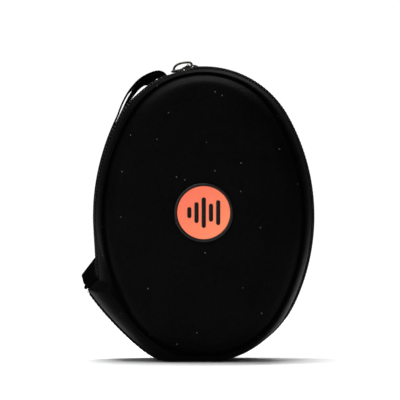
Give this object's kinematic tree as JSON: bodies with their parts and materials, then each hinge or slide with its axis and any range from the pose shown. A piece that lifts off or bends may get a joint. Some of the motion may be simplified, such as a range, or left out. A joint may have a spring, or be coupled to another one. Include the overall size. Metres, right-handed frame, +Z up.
{
  "type": "headphone carrying case",
  "caption": "Oval zipped hard case for folding headphones: two moulded halves on a straight cloth hinge, with a wrist strap, pull ring, round badge and inner mesh pocket.",
  "frame": {"origin": "on the plane that the case stands on, under the middle of its bounding box", "axes": "+X to the right seen from the lid, +Y from the lid towards the back half, +Z up"},
  "size_m": [0.1712, 0.0874, 0.2203],
  "materials": {
    "cover_knit": "fine black knit bonded to moulded foam, with small pale flecks",
    "lining": "short brushed dark grey tricot",
    "binding": "black ribbed tape folded over the cut edge",
    "zip_tape": "dark grey herringbone tape",
    "zip_coil": "black nylon coil",
    "zip_stop": "satin",
    "hinge_cloth": "black knit, softly folded",
    "webbing": "satin-woven black webbing",
    "tab_webbing": "ribbed black webbing, cut and folded",
    "badge_black": "smooth black, slightly soft gloss",
    "badge_coral": "coral orange, satin",
    "mesh": "open dark mesh",
    "elastic": "ribbed elastic",
    "slider_metal": "black enamel",
    "bare_metal": "satin",
    "ring_metal": "dark nickel"
  },
  "bodies": {
    "case": {"rear_shell": "cover_knit", "rear_lining": "lining", "rear_binding": "binding", "rear_zip_tape": "zip_tape", "rear_zip_coil": "zip_coil", "rear_zip_stops": "zip_stop", "hinge_cloth_rear": "hinge_cloth", "hinge_lining_rear": "lining", "strap_anchor": "webbing", "end_tab": "tab_webbing"},
    "lid": {"front_shell": "cover_knit", "front_lining": "lining", "front_binding": "binding", "front_zip_tape": "zip_tape", "front_zip_coil": "zip_coil", "front_zip_stops": "zip_stop", "hinge_cloth_front": "hinge_cloth", "hinge_lining_front": "lining", "badge_bezel": "badge_black", "badge_disc": "badge_coral", "badge_bars": "badge_black", "accessory_pocket": "mesh", "pocket_elastic": "elastic"},
    "slider": {"zip_slider": "slider_metal", "slider_pin": "bare_metal"},
    "pull": {"pull_ring": "ring_metal"},
    "strap": {"wrist_strap": "webbing"}
  },
  "joints": [
    {"name": "lid_hinge", "type": "hinge", "parent": "case", "child": "lid", "pos_m": [-0.06792, 0.00115, 0.03835], "axis": [0.682, 0, -0.7314], "range_deg": [0, 110]},
    {"name": "zip_travel", "type": "hinge", "parent": "case", "child": "slider", "pos_m": [0.00463, 0.00115, 0.14504], "axis": [0, 1, 0], "range_deg": [-8, 60]},
    {"name": "pull_swing", "type": "hinge", "parent": "slider", "child": "pull", "pos_m": [-0.00681, 0.00115, 0.21698], "axis": [0, 1, 0], "range_deg": [0, 150]},
    {"name": "strap_swing", "type": "hinge", "parent": "case", "child": "strap", "pos_m": [-0.02367, 0.01385, 0.20947], "axis": [0, 1, 0], "range_deg": [0, 90]}
  ]
}
